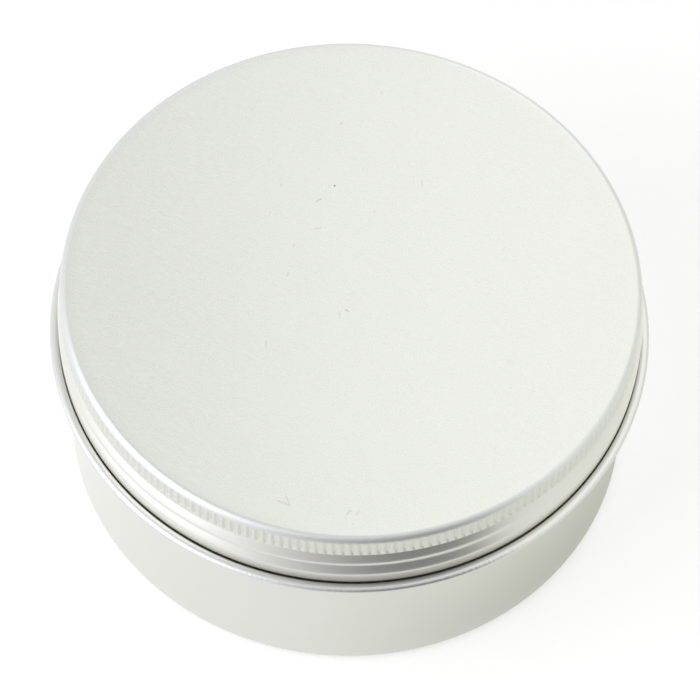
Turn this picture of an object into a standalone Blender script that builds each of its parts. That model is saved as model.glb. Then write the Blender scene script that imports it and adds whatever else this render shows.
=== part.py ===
"""Round aluminium tin with a knurled screw lid and a foam liner, made of three separate pieces.

Frame: metres, +Z up, origin at the centre of the tin's foot, so that the tin stands on z = 0.
The thread is right-handed: seen from above, the lid opens anticlockwise and climbs one pitch a turn.
"""
import math

import bmesh
import bpy

# Sheet and seats
SHEET = 0.0003              # thickness of the aluminium sheet
SEAT_GAP = 0.0003           # gap between two pieces that seat on each other

# Body of the tin
WALL_STEP = 0.00031         # how far the plain wall stands out past the neck
SHOULDER_HEIGHT = 0.0256    # floor of the groove that the lid's skirt stands in, above the ground
ROLL_RADIUS = 0.0006        # of the rim that is rolled round the shoulder
ROLL_START = 135            # degrees round the roll where the groove's outer slope meets it
ROLL_CLEARANCE = 0.00028    # between the lid's bead and that place
GROOVE_SLOPE = 0.0001       # how far the groove's outer slope leans outwards
RIM_SLIT = 0.0001           # between the two layers of sheet under the groove
RIM_BEND = 0.0004           # rounding where wall and neck turn into the rim
FOOT_ROUNDING = 0.0014      # outer rounding between wall and bottom
FOOT_WIDTH = 0.0028         # flat ring that the tin stands on
PANEL_RISE = 0.0006         # height of the bottom panel above the foot
PANEL_SLOPE = 0.0008        # width of the step between foot and panel
LIP_RADIUS = 0.00065        # outer radius of the curled lip

# Lid
LID_HEIGHT = 0.01143        # from the skirt's lower edge to the flat top
LID_RADIUS = 0.0410         # over the knurl's crests
LID_ROUNDING = 0.00122      # rounding between flat top and knurled band
SKIRT_STEP = 0.0005         # how far the skirt lies inside the knurl's crests
BEAD_STEP = 0.0004          # how far bead and thread stand out past the knurl
BEAD_HEIGHT = 0.0026        # height of the bead's full radius above the skirt's lower edge
BEAD_FLANK = 0.0013         # height of the slope from the bead to the skirt
HEM_HEIGHT = 0.0018         # height of the sheet that is folded up inside the bead

# Knurl
KNURL_TEETH = 214
KNURL_DEPTH = 0.0002
KNURL_HEIGHT = 0.00797      # lower end of the knurl above the skirt's lower edge
KNURL_DROP = 0.00076        # upper end of the knurl below the flat top
KNURL_STEP = 0.0005         # height of the slope from the knurl to the skirt
CUT_OVERRUN = 0.0008        # how far the knurl's cutter reaches past the lid

# Threads, rolled into the skirt and the neck
THREAD_PITCH = 0.0032
THREAD_HEIGHT = 0.00245     # lower end of the lid's thread above the skirt's lower edge
THREAD_HALF_WIDTH = 0.0013  # of the lid's thread
NECK_HALF_WIDTH = 0.0010    # of the neck's thread
NECK_CLEARANCE = 0.00035    # between the neck and the skirt
THREAD_CLEARANCE = 0.0003   # between the neck's thread and the hem that passes over it
THREAD_PLAY = 0.00015       # how far the neck's thread lies below the middle of the lid's
LID_THREAD_TURNS = (-90, 400)    # degrees round the axis, counted from +X
LID_THREAD_FADES = (90, 50)      # degrees over which the lower and the upper end fade
NECK_THREAD_TURNS = (0, 340)
NECK_THREAD_FADES = (40, 40)

# Liner
LINER_THICKNESS = 0.0015
LINER_CLEARANCE = 0.0005    # between the liner's edge and the knurled band
LINER_EDGE = 0.0002         # width of the edge that is eased

# Fineness of the round shapes
SEGMENTS = 60               # sides of a full turn
CORNER_STEPS = 4            # of the lid's and the foot's rounding
BEND_STEPS = 2              # of a tight bend in the sheet
CURL_STEPS = 6              # of the curled lip and of the rolled rim
THREAD_STEPS = 6            # across a thread
SMOOTH_ANGLE = 30           # degrees above which an edge stays sharp
WELD = 0.00001
FADE_END_SHARE = 0.06       # size of a thread's faded end, of its full section

# Sizes that follow from the ones above
SKIRT_RADIUS = LID_RADIUS - SKIRT_STEP      # outside of the skirt between the turns of its thread
NECK_RADIUS = SKIRT_RADIUS - SHEET - NECK_CLEARANCE
BODY_RADIUS = NECK_RADIUS + WALL_STEP       # outside of the plain wall
BEAD_RADIUS = LID_RADIUS + BEAD_STEP
HEM_RADIUS = BEAD_RADIUS - 2 * SHEET
ROLL_INSIDE = BEAD_RADIUS + ROLL_CLEARANCE
ROLL_CENTRE = ROLL_INSIDE - ROLL_RADIUS * math.cos(math.radians(ROLL_START))
RIM_LOW_Z = SHOULDER_HEIGHT - 2 * SHEET - RIM_SLIT
SKIRT_Z = SHOULDER_HEIGHT + SEAT_GAP
BAND_Z = SKIRT_Z + KNURL_HEIGHT
LID_TOP_Z = SKIRT_Z + LID_HEIGHT
LINER_TOP_Z = LID_TOP_Z - SHEET - SEAT_GAP
LINER_RADIUS = LID_RADIUS - KNURL_DEPTH - SHEET - LINER_CLEARANCE
LIP_TOP_Z = LINER_TOP_Z - LINER_THICKNESS - SEAT_GAP
BAND_RADIUS = LID_RADIUS / math.cos(math.pi / SEGMENTS)    # its flat sides still hold the knurl's crests
LID_THREAD_RISE = BEAD_RADIUS - SKIRT_RADIUS
NECK_THREAD_RISE = HEM_RADIUS - THREAD_CLEARANCE - NECK_RADIUS
THREAD_ROOT = SHEET / 2     # depth to which a thread's section is rooted in the sheet


def clear_scene():
    """Removes every object, so that the script starts from nothing."""
    for item in list(bpy.data.objects):
        bpy.data.objects.remove(item, do_unlink=True)


def new_collection(name, hidden=False):
    """A collection in the scene; the one for cutters is left out of renders."""
    group = bpy.data.collections.new(name)
    group.hide_render = hidden
    bpy.context.scene.collection.children.link(group)
    return group


def principled(name, colour, metallic, roughness):
    """A plain material with the piece's colour, metallic value and roughness."""
    material = bpy.data.materials.new(name)
    material.use_nodes = True
    shader = material.node_tree.nodes["Principled BSDF"]
    shader.inputs["Base Color"].default_value = (*colour, 1)
    shader.inputs["Metallic"].default_value = metallic
    shader.inputs["Roughness"].default_value = roughness
    return material


def on_circle(radius, degrees):
    """The point (x, y) on a circle at an angle."""
    angle = math.radians(degrees)
    return radius * math.cos(angle), radius * math.sin(angle)


def arc(centre, radius, start, end, steps):
    """Points (r, z) on an arc about a centre, from one angle in degrees to another."""
    points = []
    for i in range(steps + 1):
        across, up = on_circle(radius, start + (end - start) * i / steps)
        points.append((centre[0] + across, centre[1] + up))
    return points


def evaluated_mesh(item):
    """A new mesh of an object as its modifiers or its curve shape it."""
    bpy.context.view_layer.update()
    evaluated = item.evaluated_get(bpy.context.evaluated_depsgraph_get())
    return bpy.data.meshes.new_from_object(evaluated)


def turned(name, profile, group):
    """Turns a profile of (r, z) points, which starts and ends on the axis, into a closed solid."""
    mesh = bpy.data.meshes.new(name)
    corners = [(r, 0, z) for r, z in profile]
    edges = [(i, i + 1) for i in range(len(profile) - 1)]
    mesh.from_pydata(corners, edges, [])
    piece = bpy.data.objects.new(name, mesh)
    group.objects.link(piece)
    screw = piece.modifiers.new("Turn", "SCREW")
    screw.axis = "Z"
    screw.angle = math.radians(360)
    screw.steps = SEGMENTS
    screw.render_steps = SEGMENTS
    screw.use_merge_vertices = True
    screw.merge_threshold = WELD
    return piece


def poly_curve(name, rings):
    """A flat curve object of closed, straight-edged outlines of (x, y) points."""
    data = bpy.data.curves.new(name, "CURVE")
    data.dimensions = "2D"
    for ring in rings:
        spline = data.splines.new("POLY")
        spline.points.add(len(ring) - 1)
        for point, (x, y) in zip(spline.points, ring):
            point.co = (x, y, 0, 1)
        spline.use_cyclic_u = True
    outline = bpy.data.objects.new(name, data)
    bpy.context.scene.collection.objects.link(outline)
    return outline


def remove_curve(item):
    """Removes a curve object and its curve."""
    data = item.data
    bpy.data.objects.remove(item, do_unlink=True)
    bpy.data.curves.remove(data)


def as_tool(curve_object, name, group):
    """Turns a curve into a closed mesh in the group of cutters, and removes the curve."""
    mesh = evaluated_mesh(curve_object)
    shape = bmesh.new()
    shape.from_mesh(mesh)
    bmesh.ops.remove_doubles(shape, verts=shape.verts, dist=WELD)
    bmesh.ops.recalc_face_normals(shape, faces=shape.faces)
    shape.to_mesh(mesh)
    shape.free()
    tool = bpy.data.objects.new(name, mesh)
    tool.matrix_world = curve_object.matrix_world
    group.objects.link(tool)
    remove_curve(curve_object)
    return tool


def thread_section(rise, half_width):
    """A cosine-squared bump, rooted in the sheet, as (radial, axial) points about its foot."""
    points = []
    for i in range(THREAD_STEPS + 1):
        along = 2 * i / THREAD_STEPS - 1
        swell = math.cos(along * math.pi / 2) ** 2
        points.append(((rise + THREAD_ROOT) * swell - THREAD_ROOT, half_width * along))
    return points


def fade(degrees, turns, fades):
    """Share of the full section at an angle: 1 along the thread, small at both ends."""
    from_start = (degrees - turns[0]) / fades[0]
    from_end = (turns[1] - degrees) / fades[1]
    share = max(0, min(1, from_start, from_end))
    return FADE_END_SHARE + (1 - FADE_END_SHARE) * math.sin(share * math.pi / 2)


def thread_tool(name, radius, start_z, section, turns, fades, group):
    """A right-handed helix of a thread's section; start_z is its height at the lid thread's start."""
    outline = poly_curve(name + "_section", [section])
    data = bpy.data.curves.new(name, "CURVE")
    data.dimensions = "3D"
    data.twist_mode = "Z_UP"
    data.bevel_mode = "OBJECT"
    data.bevel_object = outline
    data.use_fill_caps = True
    side = 360 / SEGMENTS
    first = math.ceil(turns[0] / side)
    last = math.floor(turns[1] / side)
    spline = data.splines.new("POLY")
    spline.points.add(last - first)
    for point, i in zip(spline.points, range(first, last + 1)):
        degrees = i * side
        z = start_z + THREAD_PITCH * (degrees - LID_THREAD_TURNS[0]) / 360
        point.co = (*on_circle(radius, degrees), z, 1)
        point.radius = fade(degrees, turns, fades)
    path = bpy.data.objects.new(name + "_path", data)
    bpy.context.scene.collection.objects.link(path)
    tool = as_tool(path, name, group)
    remove_curve(outline)
    return tool


def boolean(piece, tool, operation):
    """Joins a tool to a piece, or cuts it away. The tool itself is drawn as a wire."""
    tool.hide_render = True
    tool.display_type = "WIRE"
    modifier = piece.modifiers.new(operation.title() + "_" + tool.name, "BOOLEAN")
    modifier.operation = operation
    modifier.solver = "EXACT"
    modifier.object = tool


def knurl_tool(group):
    """A ring whose inner outline is the knurl's zigzag, as tall as the knurled band."""
    bottom = BAND_Z - KNURL_STEP
    top = LID_TOP_Z - KNURL_DROP
    half_tooth = 360 / (2 * KNURL_TEETH)
    zigzag = []
    for i in range(2 * KNURL_TEETH):
        zigzag.append(on_circle(LID_RADIUS - KNURL_DEPTH * (i % 2), half_tooth * i))
    rim = [on_circle(BEAD_RADIUS + CUT_OVERRUN, 360 / SEGMENTS * i) for i in range(SEGMENTS)]
    ring = poly_curve("knurl_ring", [rim, zigzag])
    ring.data.fill_mode = "BOTH"
    ring.data.extrude = (top - bottom) / 2
    ring.location.z = (top + bottom) / 2
    return as_tool(ring, "knurl_cutter", group)


def finish(piece, material):
    """Applies a piece's modifiers and gives it its material and its shading, sharp at sharp edges."""
    mesh = evaluated_mesh(piece)
    mesh.name = piece.name
    mesh.materials.clear()
    mesh.materials.append(material)
    piece.modifiers.clear()
    piece.data = mesh
    mesh.shade_smooth()
    mesh.set_sharp_from_angle(angle=math.radians(SMOOTH_ANGLE))


def base_profile():
    """Outline of the body: from the middle of its floor up the inside to the lip, then down outside."""
    lip = (NECK_RADIUS - LIP_RADIUS, LIP_TOP_Z - LIP_RADIUS)
    neck_bend = (NECK_RADIUS + RIM_BEND, SHOULDER_HEIGHT + RIM_BEND)
    wall_bend = (BODY_RADIUS + RIM_BEND, RIM_LOW_Z - RIM_BEND)
    roll = (ROLL_CENTRE, RIM_LOW_Z + ROLL_RADIUS)
    groove = ROLL_INSIDE - GROOVE_SLOPE
    foot = (BODY_RADIUS - FOOT_ROUNDING, FOOT_ROUNDING)
    foot_inside = foot[0] - FOOT_WIDTH
    panel = foot_inside - PANEL_SLOPE
    inside = [
        (0, PANEL_RISE + SHEET),
        (panel + SHEET / 2, PANEL_RISE + SHEET),
        (foot_inside + SHEET / 2, SHEET),
        *arc(foot, FOOT_ROUNDING - SHEET, -90, 0, CORNER_STEPS),
        *arc(wall_bend, RIM_BEND + SHEET, 180, 90, BEND_STEPS),
        *arc(roll, ROLL_RADIUS - SHEET, -90, ROLL_START, CURL_STEPS),
        (groove + SHEET, SHOULDER_HEIGHT - SHEET),
        *arc(neck_bend, RIM_BEND + SHEET, 270, 180, BEND_STEPS),
        *arc(lip, LIP_RADIUS - SHEET, 0, 270, CURL_STEPS),
    ]
    outside = [
        *arc(lip, LIP_RADIUS, 270, 0, CURL_STEPS),
        *arc(neck_bend, RIM_BEND, 180, 270, BEND_STEPS),
        (groove, SHOULDER_HEIGHT),
        *arc(roll, ROLL_RADIUS, ROLL_START, -90, CURL_STEPS),
        *arc(wall_bend, RIM_BEND, 90, 180, BEND_STEPS),
        *arc(foot, FOOT_ROUNDING, 0, -90, CORNER_STEPS),
        (foot_inside, 0),
        (panel, PANEL_RISE),
        (0, PANEL_RISE),
    ]
    return inside + outside


def lid_outside():
    """Outline of the lid without its hollow: from the middle of its top down the outside to its mouth."""
    corner = (BAND_RADIUS - LID_ROUNDING, LID_TOP_Z - LID_ROUNDING)
    bead_top = SKIRT_Z + BEAD_HEIGHT
    fold = (BEAD_RADIUS - SHEET, SKIRT_Z + SHEET)
    return [
        (0, LID_TOP_Z),
        *arc(corner, LID_ROUNDING, 90, 0, CORNER_STEPS),
        (BAND_RADIUS, BAND_Z),
        (SKIRT_RADIUS, BAND_Z - KNURL_STEP),
        (SKIRT_RADIUS, bead_top + BEAD_FLANK),
        (BEAD_RADIUS, bead_top),
        *arc(fold, SHEET, 0, -90, BEND_STEPS),
        (0, SKIRT_Z),
    ]


def lid_hollow():
    """Outline of the lid's hollow: a sheet's thickness inside the lid, and past its mouth below."""
    corner = (BAND_RADIUS - LID_ROUNDING - KNURL_DEPTH, LID_TOP_Z - LID_ROUNDING)
    bead_top = SKIRT_Z + BEAD_HEIGHT
    return [
        (0, LID_TOP_Z - SHEET),
        *arc(corner, LID_ROUNDING - SHEET, 90, 0, CORNER_STEPS),
        (BAND_RADIUS - KNURL_DEPTH - SHEET, BAND_Z),
        (SKIRT_RADIUS - SHEET, BAND_Z - KNURL_STEP),
        (SKIRT_RADIUS - SHEET, bead_top + BEAD_FLANK),
        (BEAD_RADIUS - SHEET, bead_top),
        (BEAD_RADIUS - SHEET, SKIRT_Z + HEM_HEIGHT),
        (HEM_RADIUS, SKIRT_Z + HEM_HEIGHT),
        (HEM_RADIUS, SKIRT_Z - CUT_OVERRUN),
        (0, SKIRT_Z - CUT_OVERRUN),
    ]


def liner_profile():
    """Outline of the foam disc, with its edges eased."""
    bottom = LINER_TOP_Z - LINER_THICKNESS
    return [
        (0, LINER_TOP_Z),
        (LINER_RADIUS - LINER_EDGE, LINER_TOP_Z),
        (LINER_RADIUS, LINER_TOP_Z - LINER_EDGE),
        (LINER_RADIUS, bottom + LINER_EDGE),
        (LINER_RADIUS - LINER_EDGE, bottom),
        (0, bottom),
    ]


def make_base(parts, cutters):
    """The drawn body: floor, wall, rolled rim, threaded neck and curled lip, all one sheet."""
    base = turned("tin_base", base_profile(), parts)
    section = thread_section(NECK_THREAD_RISE, NECK_HALF_WIDTH)
    shape = (SKIRT_Z + THREAD_HEIGHT - THREAD_PLAY, section, NECK_THREAD_TURNS, NECK_THREAD_FADES, cutters)
    boolean(base, thread_tool("neck_thread", NECK_RADIUS, *shape), "UNION")
    boolean(base, thread_tool("neck_thread_inside", NECK_RADIUS - SHEET, *shape), "DIFFERENCE")
    finish(base, principled("base_aluminium", (0.83, 0.84, 0.82), 1.0, 0.35))


def make_lid(parts, cutters):
    """The lid's shell: flat top, knurled band, skirt with a rolled thread, and hemmed bead."""
    lid = turned("lid_shell", lid_outside(), parts)
    section = thread_section(LID_THREAD_RISE, THREAD_HALF_WIDTH)
    shape = (SKIRT_Z + THREAD_HEIGHT, section, LID_THREAD_TURNS, LID_THREAD_FADES, cutters)
    # The hollow is cut after the thread is joined on, so that nothing of the thread stays inside the bead.
    boolean(lid, thread_tool("lid_thread", SKIRT_RADIUS, *shape), "UNION")
    boolean(lid, turned("lid_hollow", lid_hollow(), cutters), "DIFFERENCE")
    boolean(lid, thread_tool("lid_thread_inside", SKIRT_RADIUS - SHEET, *shape), "DIFFERENCE")
    boolean(lid, knurl_tool(cutters), "DIFFERENCE")
    finish(lid, principled("lid_aluminium", (0.84, 0.85, 0.83), 1.0, 0.35))


def make_liner(parts):
    """The foam disc inside the lid, which seals on the curled lip."""
    liner = turned("lid_liner", liner_profile(), parts)
    finish(liner, principled("white_foam", (0.9, 0.9, 0.89), 0.0, 0.8))


clear_scene()
tin_parts = new_collection("aluminium_tin")
tin_cutters = new_collection("cutters", hidden=True)
make_base(tin_parts, tin_cutters)
make_lid(tin_parts, tin_cutters)
make_liner(tin_parts)
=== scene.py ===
# %% [markdown]
# # A round aluminium tin with a screw lid
#
# The tin is three pieces: a drawn body, a lid with a rolled thread, and a foam liner inside the lid. This
# notebook gives them their finished shapes and surfaces, and builds the small studio they are seen in.
#
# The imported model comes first. It says where each piece is, and which body it moves with. Radii and heights
# start from its boxes, so the finished pieces stay where the solids are.

import math

import bpy
import numpy as np
from mathutils import Matrix, Vector


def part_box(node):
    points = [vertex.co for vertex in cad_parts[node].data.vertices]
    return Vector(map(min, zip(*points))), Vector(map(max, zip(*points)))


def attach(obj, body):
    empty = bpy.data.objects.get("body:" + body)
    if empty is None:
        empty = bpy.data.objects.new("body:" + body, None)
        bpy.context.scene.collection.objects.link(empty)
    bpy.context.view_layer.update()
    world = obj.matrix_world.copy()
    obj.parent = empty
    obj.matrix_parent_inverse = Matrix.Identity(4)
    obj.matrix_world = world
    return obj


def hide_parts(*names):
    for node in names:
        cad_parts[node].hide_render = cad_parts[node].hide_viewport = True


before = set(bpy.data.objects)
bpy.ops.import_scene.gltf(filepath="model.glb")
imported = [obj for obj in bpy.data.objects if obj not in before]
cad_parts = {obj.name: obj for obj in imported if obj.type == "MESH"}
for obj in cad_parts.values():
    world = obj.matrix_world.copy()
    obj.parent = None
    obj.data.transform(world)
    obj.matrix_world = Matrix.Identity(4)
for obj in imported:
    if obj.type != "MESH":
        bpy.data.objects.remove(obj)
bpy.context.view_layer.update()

# %% [markdown]
# ## Sizes
#
# Lid and body are sheet 0.3 mm thick. A drawn and rolled tin is round but for two things: the knurl, a ring
# of short upright slots that fingers grip, and the thread, a ridge that climbs round the skirt. So nearly all
# of the tin is said by heights and radii.

# %% Sizes
MM = 0.001
LID_LOW, LID_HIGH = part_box("lid_shell")
BASE_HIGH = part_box("tin_base")[1]
LINER_LOW, LINER_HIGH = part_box("lid_liner")

SHEET = 0.3 * MM
PITCH = 3.2 * MM
LID_TOP = LID_HIGH[2]
SKIRT_FOOT = LID_LOW[2]
BEAD_RADIUS = LID_HIGH[0]
KNURL_RADIUS = BEAD_RADIUS - 0.4 * MM
SKIRT_RADIUS = BEAD_RADIUS - 0.9 * MM
HEM_RADIUS = BEAD_RADIUS - 0.65 * MM
RIM_RADIUS = BASE_HIGH[0]
GROOVE_Z = SKIRT_FOOT - 0.3 * MM
LIP_TOP = BASE_HIGH[2]
NECK_RADIUS = SKIRT_RADIUS - 0.65 * MM
WALL_RADIUS = NECK_RADIUS + 0.31 * MM
print("lid over the knurl:", round(2000 * KNURL_RADIUS, 2), "mm; wall:", round(2000 * WALL_RADIUS, 2), "mm")

# %% [markdown]
# ## Outlines
#
# A turned piece starts as half of its cross-section: a line of (r, z) points that begins and ends on the
# axis. Straight stretches and arcs are joined, and `refined` then adds points between them. The more points
# across a bend, the smoother the highlight that runs along it. A line drawn by hand would do too, but one
# worked out from named sizes is easy to correct.

# %% Helpers for outlines
SLOPE_FOOT = 0.1


def arc(centre, radius, start, end, steps):
    """Points (r, z) = centre + (across * cos a, up * sin a), for angles a in degrees from start to end.

    The radius is one number for a circle, or a pair (across, up) for an ellipse.
    """
    a = np.radians(np.linspace(start, end, steps + 1))
    return np.asarray(centre) + np.broadcast_to(radius, 2) * np.column_stack([np.cos(a), np.sin(a)])


def refined(outline, step):
    """The same outline with points at most a step apart: each stretch is cut into equal shares."""
    start, end = outline[:-1], outline[1:]
    counts = np.maximum(1, np.ceil(np.hypot(*(end - start).T) / step - 1e-6)).astype(int)
    first = np.cumsum(counts) - counts
    share = (np.arange(counts.sum()) - np.repeat(first, counts)) / np.repeat(counts, counts)
    between = np.repeat(start, counts, axis=0) + share[:, None] * np.repeat(end - start, counts, axis=0)
    return np.vstack([between, outline[-1:]])


def upright(radius, heights):
    """Points (r, z) that all have the same radius."""
    return np.column_stack([np.full(len(heights), radius), heights])


def smooth_step(low, high, value):
    """0 below low, 1 above high, and 3s^2 - 2s^3 between them."""
    s = np.clip((value - low) / (high - low), 0, 1)
    return s * s * (3 - 2 * s)


def soft_max(a, b, blend):
    """The larger of a and b with the corner rounded: (a + b + sqrt((a - b)^2 + blend^2)) / 2."""
    return (a + b + np.sqrt((a - b) ** 2 + blend ** 2)) / 2


def slope_down(distance, tip):
    """About 1 at distance 0, falling in a straight slope to 0, with tip and foot of the slope rounded.

    The slope is 1 + tip - sqrt(distance^2 + tip^2), and soft_max keeps it above 0.
    """
    return soft_max(1 + tip - np.sqrt(distance ** 2 + tip ** 2), 0, SLOPE_FOOT)


quarter = arc((0, 0), 1, 0, 90, 10)
print("length of a quarter circle in 10 steps:", round(float(np.hypot(*np.diff(quarter, axis=0).T).sum()), 4))


# %% [markdown]
# ## From outline to surface
#
# Turning an outline gives a grid: one row for each point of the outline, one column for each angle. The knurl
# needs eight columns to a tooth, and the rest of the lid far fewer, so two grids of different fineness are
# sewn together. Both ends of the outline lie on the axis, where a single point closes the surface.

# %% Turn outlines into closed surfaces
SHARP_ANGLE = math.radians(50)


def ring_grid(outline, columns, radius_at=None):
    """Points (r cos a, r sin a, z) for every outline point and angle a; radius_at(r, z, a) may change r."""
    a = 2 * np.pi * np.arange(columns)[None, :] / columns
    r = np.repeat(outline[:, :1], columns, axis=1)
    z = np.repeat(outline[:, 1:], columns, axis=1)
    if radius_at is not None:
        r = radius_at(r, z, a)
    return np.stack([r * np.cos(a), r * np.sin(a), z], axis=-1)


def rows_to_quads(first, rows, columns):
    """Four-sided faces between neighbouring rows of a closed ring grid whose first point has this number."""
    here = first + np.arange((rows - 1) * columns).reshape(rows - 1, columns)
    right = np.roll(here, -1, axis=1)
    return np.stack([here, here + columns, right + columns, right], axis=-1).reshape(-1, 4)


def sewn(fine_row, coarse_row):
    """Triangles between a fine row and the coarse row below it: each coarse point takes k fine ones."""
    k = len(fine_row) // len(coarse_row)
    left = np.repeat(coarse_row, k)
    right = np.repeat(np.roll(coarse_row, -1), k)
    near = np.tile(np.arange(k) < k // 2, len(coarse_row))
    fans = np.column_stack([fine_row, np.where(near, left, right), np.roll(fine_row, -1)])
    gaps = np.column_stack([fine_row[k // 2::k], coarse_row, np.roll(coarse_row, -1)])
    return np.vstack([fans, gaps])


def closed_surface(name, grids, material):
    """One mesh from ring grids in outline order; the first and last outline points are the poles."""
    poles = [grids[0][0, 0] * [0, 0, 1], grids[-1][-1, 0] * [0, 0, 1]]
    grids = [grids[0][1:], *grids[1:]]
    grids[-1] = grids[-1][:-1]
    sizes = [grid.shape[0] * grid.shape[1] for grid in grids]
    firsts = np.cumsum([0, *sizes])
    points = np.vstack([*(grid.reshape(-1, 3) for grid in grids), *poles])
    quads = np.vstack([rows_to_quads(f, *g.shape[:2]) for f, g in zip(firsts, grids)])
    last_rows = [f + s - g.shape[1] + np.arange(g.shape[1]) for f, s, g in zip(firsts, sizes, grids)]
    first_rows = [f + np.arange(g.shape[1]) for f, g in zip(firsts, grids)]
    triangles = [sewn(above, below) for above, below in zip(last_rows, first_rows[1:])]
    top, bottom = first_rows[0], last_rows[-1]
    triangles.append(np.column_stack([np.full(len(top), firsts[-1]), top, np.roll(top, -1)]))
    triangles.append(np.column_stack([bottom, np.full(len(bottom), firsts[-1] + 1), np.roll(bottom, -1)]))
    mesh = bpy.data.meshes.new(name)
    mesh.from_pydata(points, [], quads.tolist() + np.vstack(triangles).tolist())
    mesh.materials.append(material)
    mesh.shade_smooth()
    mesh.set_sharp_from_angle(angle=SHARP_ANGLE)
    piece = bpy.data.objects.new(name, mesh)
    bpy.context.scene.collection.objects.link(piece)
    print(name, "has", 2 * len(quads) + sum(map(len, triangles)), "triangles")
    return piece


print("edges over", round(math.degrees(SHARP_ANGLE)), "degrees stay sharp")


# %% [markdown]
# ## The thread
#
# A roller presses the thread outwards, so the sheet has a ridge outside and the same groove inside. Its
# flanks are nearly straight and its crest is rounded. The crest climbs by one pitch a turn, and both ends
# fade into the sheet. A tube swept along a helix and joined on would leave a seam, so the ridge is a rise of
# the sheet's own radius. One function serves the skirt and the neck, outside and inside, with other numbers.

# %% The helical ridge
RIDGE_TIP = 0.3


def thread_rise(z, angle, crest, half_width, turns, fades):
    """How far the ridge stands out at height z and angle, as a share of its full rise.

    Over each turn k, theta = angle + 360 k and the crest is at crest + pitch * theta / 360. The share is
    slope_down of the distance from the crest over half_width, times a fade that grows to 1 from either end.
    """
    theta = np.degrees(angle) % 360 + 360 * np.arange(-1, 2)[:, None, None]
    from_ends = np.minimum((theta - turns[0]) / fades[0], (turns[1] - theta) / fades[1])
    fade = np.sin(np.pi / 2 * np.clip(from_ends, 0, 1))
    return (fade * slope_down((z - crest - PITCH * theta / 360) / half_width, RIDGE_TIP)).max(axis=0)


shares = slope_down(np.array([0, 0.5, 1]), RIDGE_TIP)
print("rise of the ridge at 0, 0.5 and 1 times its half width:", shares.round(2).tolist())


# %% [markdown]
# ## The knurl
#
# Each knurl tooth is what is left between two slots. A slot is a narrow pressed channel with rounded ends.
# Its edge is a fixed distance from a short upright line, and its depth grows over a short wall from its edge.
# A bump in the material would be quicker, but it casts no shadow and leaves the outline smooth, so the slots
# are real shape.

# %% The knurled slots
KNURL_TEETH = 214
TOOTH_PITCH = 2 * np.pi * KNURL_RADIUS / KNURL_TEETH
SLOT_DEPTH = 0.28 * MM
SLOT_WIDTH = 0.85 * MM
SLOT_WALL = 0.3 * MM
SLOT_RISE = 0.6 * MM
SLOT_HIGH = LID_TOP - 0.8 * MM
SLOT_LOW = LID_TOP - 4.0 * MM


def slot_depth(z, angle):
    """Depth at a point: SLOT_DEPTH * a smooth_step of its distance inside the edge * one of its height.

    x is the distance round the lid from the slot's middle and y the distance past the ends of its upright
    line, so the distance inside the edge is SLOT_WIDTH / 2 - sqrt(x^2 + y^2). The second smooth_step makes
    the slot run out gently at its foot.
    """
    x = ((angle / (2 * np.pi) * KNURL_TEETH + 0.5) % 1 - 0.5) * TOOTH_PITCH
    half = SLOT_WIDTH / 2
    y = np.maximum(0, np.maximum(z - (SLOT_HIGH - half), (SLOT_LOW + half) - z))
    inside = smooth_step(0, SLOT_WALL, half - np.hypot(x, y))
    return SLOT_DEPTH * inside * smooth_step(0, SLOT_RISE, z - SLOT_LOW)


print("teeth:", KNURL_TEETH, "with a pitch of", round(TOOTH_PITCH / MM, 3), "mm")


# %% [markdown]
# ## Colours and surfaces
#
# Bare aluminium is never quite even. The flat top keeps the straight grain of the rolling mill, the stretched
# sheet of edge and skirt is matt, the rolled rim has grain that runs outwards, and the drawn wall is smooth
# and faintly cloudy. Straight, outward and matt grain are node groups, made once and then used in the
# materials with their own numbers, and clouds are matt grain of a large size. The groups put out values
# between 0 and 1. They read noise on Object coordinates, which neither repeats nor stretches as a picture of
# brushed metal would.

# %% Helpers for shader nodes
def add_node(tree, kind, inputs=(), **settings):
    """Adds a node. Inputs are given by name or number, as a value or as a socket to link."""
    node = tree.nodes.new(kind)
    for key, value in settings.items():
        setattr(node, key, value)
    for key, value in dict(inputs).items():
        if isinstance(value, bpy.types.NodeSocket):
            tree.links.new(value, node.inputs[key])
        else:
            node.inputs[key].default_value = value
    return node


def maths(tree, operation, *values, clamp=False):
    """The result of one Math node."""
    inputs = dict(enumerate(values))
    return add_node(tree, "ShaderNodeMath", inputs, operation=operation, use_clamp=clamp).outputs[0]


def vector_maths(tree, operation, *values, result=0):
    """The result of one Vector Math node; result 1 is its single value."""
    inputs = dict(enumerate(values))
    return add_node(tree, "ShaderNodeVectorMath", inputs, operation=operation).outputs[result]


def flattened(tree, vector):
    """A vector with its Z made 0."""
    return vector_maths(tree, "MULTIPLY", vector, (1, 1, 0))


def scaled(tree, vector, factor):
    """A vector times a single value."""
    return add_node(tree, "ShaderNodeVectorMath", {0: vector, "Scale": factor}, operation="SCALE").outputs[0]


def from_parts(tree, **parts):
    """A vector from its X, Y and Z."""
    return add_node(tree, "ShaderNodeCombineXYZ", parts).outputs[0]


def parts_of(tree, vector):
    """The X, Y and Z of a vector."""
    return add_node(tree, "ShaderNodeSeparateXYZ", {0: vector}).outputs


def ramp(tree, value, low, high, to_low=0.0, to_high=1.0):
    """A smooth step of a value from low to high."""
    inputs = {"Value": value, "From Min": low, "From Max": high, "To Min": to_low, "To Max": to_high}
    return add_node(tree, "ShaderNodeMapRange", inputs, interpolation_type="SMOOTHSTEP").outputs[0]


def noise(tree, vector, scale, detail=2.0):
    """The value of a noise texture, about 0 to 1 with a mean of 0.5."""
    inputs = {"Vector": vector, "Scale": scale, "Detail": detail}
    return add_node(tree, "ShaderNodeTexNoise", inputs).outputs["Fac"]


def blended(tree, first, second, value):
    """A mix of two values, at a value from 0 to 1."""
    return add_node(tree, "ShaderNodeMix", {0: value, 2: first, 3: second}, data_type="FLOAT").outputs[0]


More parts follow.
